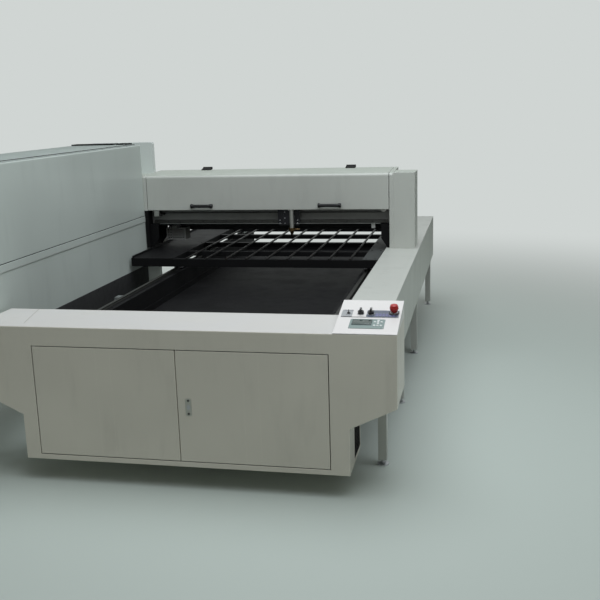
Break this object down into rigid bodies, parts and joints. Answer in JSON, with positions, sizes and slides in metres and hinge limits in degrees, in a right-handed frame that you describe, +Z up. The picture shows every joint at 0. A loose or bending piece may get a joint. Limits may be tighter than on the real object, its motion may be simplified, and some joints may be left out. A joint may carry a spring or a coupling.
{
  "type": "laser cutting machine",
  "caption": "Flatbed laser cutter for boards: sliding slatted table under a fixed lidded bridge, side laser cabinet, front control cabinet with sloped console.",
  "frame": {"origin": "on the floor, below the middle of the machine's bounding box", "axes": "+X to the operator's right, +Y from the front control cabinet to the rear, +Z up"},
  "size_m": [2.385, 3.824, 1.449],
  "materials": {
    "front_paint": "satin cream-white enamel",
    "cabinet_paint": "satin white enamel",
    "bridge_paint": "satin white enamel",
    "cover_paint": "satin white enamel",
    "console_paint": "satin white enamel",
    "frame_paint": "light grey enamel",
    "beam_paint": "mid-grey enamel",
    "black_paint": "black satin enamel",
    "suction_grey": "mid-grey enamel",
    "slat_steel": "dark oiled steel",
    "vent_black": "matt black",
    "handle_black": "matt black moulding",
    "grey_plate": "dull dark grey",
    "guide_steel": "ground steel",
    "zinc_steel": "zinc plated",
    "aluminium": "machined",
    "carriage_black": "black anodised",
    "motor_black": "black",
    "brass": "turned",
    "belt_rubber": "matt",
    "duct_grey": "light grey",
    "keypad_grey": "grey-green film",
    "switch_grey": "grey film",
    "key_plastic": "blue-violet and white film",
    "knob_black": "black moulding",
    "stop_red": "red moulding",
    "tube_glass": "clear"
  },
  "bodies": {
    "machine": {"front_cabinet": "front_paint", "laser_cabinet": "cabinet_paint", "laser_hood": "cabinet_paint", "rear_housing": "cabinet_paint", "service_panels": "cabinet_paint", "end_caps": "bridge_paint", "pedestals": "bridge_paint", "rear_panel": "bridge_paint", "travel_stops": "bridge_paint", "side_cover": "cover_paint", "console_hood": "console_paint", "leg_frames": "frame_paint", "bridge_beam": "beam_paint", "beam_fittings": "black_paint", "rear_hinge_leaves": "black_paint", "base_beams": "black_paint", "scrap_tray": "black_paint", "suction_box": "suction_grey", "side_vent": "vent_black", "hood_vent": "vent_black", "linear_guides": "guide_steel", "screw_bearings": "guide_steel", "door_pivots": "zinc_steel", "mounting_plate": "zinc_steel", "levelling_feet": "zinc_steel", "mirror_mount": "aluminium", "laser_deck": "aluminium", "drive_units": "aluminium", "drive_motors": "motor_black", "head_belt": "belt_rubber", "wiring_gear": "duct_grey", "keypad_panel": "keypad_grey", "switch_plate": "switch_grey", "key_caps": "key_plastic", "laser_tube": "tube_glass"},
    "door_left": {"door_left": "front_paint"},
    "door_right": {"door_right": "front_paint", "lock_plate": "zinc_steel"},
    "door_lock": {"door_lock": "zinc_steel"},
    "table": {"table_frame": "black_paint", "table_slats": "slat_steel", "wing_plate": "black_paint", "right_plate": "grey_plate", "table_bearings": "guide_steel"},
    "table_screw": {"table_screw": "guide_steel"},
    "head": {"carriage": "carriage_black", "carriage_blocks": "guide_steel", "focus_actuator": "motor_black"},
    "focus": {"focus_slide": "carriage_black", "head_optics": "aluminium", "nozzle": "brass"},
    "lid": {"bridge_lid": "bridge_paint", "lid_handles": "handle_black", "lid_hinge_leaves": "black_paint"},
    "idler_pulley": {"idler_pulley": "aluminium"},
    "drive_pulley": {"drive_pulley": "aluminium"},
    "stop_button": {"stop_button": "stop_red"},
    "selector_left": {"selector_left": "knob_black"},
    "selector_right": {"selector_right": "knob_black"},
    "key_switch": {"key_switch": "knob_black"}
  },
  "joints": [
    {"name": "door_left_hinge", "type": "hinge", "parent": "machine", "child": "door_left", "pos_m": [-0.4335, -1.901, 0.389], "axis": [0, 0, -1], "range_deg": [0, 100]},
    {"name": "door_right_hinge", "type": "hinge", "parent": "machine", "child": "door_right", "pos_m": [0.8965, -1.901, 0.389], "axis": [0, 0, 1], "range_deg": [0, 100]},
    {"name": "door_lock_turn", "type": "hinge", "parent": "door_right", "child": "door_lock", "pos_m": [0.2815, -1.895, 0.388], "axis": [0, -1, 0], "range_deg": [0, 90]},
    {"name": "table_slide", "type": "slide", "parent": "machine", "child": "table", "axis": [0, 1, 0], "range_m": [-1.5, 0]},
    {"name": "table_screw_turn", "type": "hinge", "parent": "machine", "child": "table_screw", "pos_m": [-0.5385, 0.157, 0.57], "axis": [0, 1, 0], "continuous": true},
    {"name": "head_slide", "type": "slide", "parent": "machine", "child": "head", "axis": [1, 0, 0], "range_m": [-0.7, 0.48]},
    {"name": "focus_slide", "type": "slide", "parent": "head", "child": "focus", "axis": [0, 0, 1], "range_m": [-0.08, 0.02]},
    {"name": "lid_hinge", "type": "hinge", "parent": "machine", "child": "lid", "pos_m": [0.1085, 0.646, 1.245], "axis": [-1, 0, 0], "range_deg": [0, 80]},
    {"name": "idler_turn", "type": "hinge", "parent": "machine", "child": "idler_pulley", "pos_m": [-0.6895, 0.337, 0.985], "axis": [0, -1, 0], "continuous": true},
    {"name": "drive_turn", "type": "hinge", "parent": "machine", "child": "drive_pulley", "pos_m": [0.8915, 0.337, 0.985], "axis": [0, -1, 0], "continuous": true},
    {"name": "stop_press", "type": "slide", "parent": "machine", "child": "stop_button", "axis": [0, 0.1994, -0.9799], "range_m": [0, 0.004], "stiffness_N_per_m": 600, "springref_m": -0.003},
    {"name": "selector_left_turn", "type": "hinge", "parent": "machine", "child": "selector_left", "pos_m": [1.0195, -1.72083, 0.77608], "axis": [0, -0.1994, 0.9799], "range_deg": [-45, 45]},
    {"name": "selector_right_turn", "type": "hinge", "parent": "machine", "child": "selector_right", "pos_m": [1.0635, -1.72083, 0.77608], "axis": [0, -0.1994, 0.9799], "range_deg": [-45, 45]},
    {"name": "key_turn", "type": "hinge", "parent": "machine", "child": "key_switch", "pos_m": [0.9665, -1.72083, 0.77608], "axis": [0, -0.1994, 0.9799], "range_deg": [0, 90]}
  ],
  "couplings": [
    {"joint": "table_screw_turn", "follows": "table_slide", "rad_per_m": 251.33},
    {"joint": "idler_turn", "follows": "head_slide", "rad_per_m": 50},
    {"joint": "drive_turn", "follows": "head_slide", "rad_per_m": 50}
  ]
}
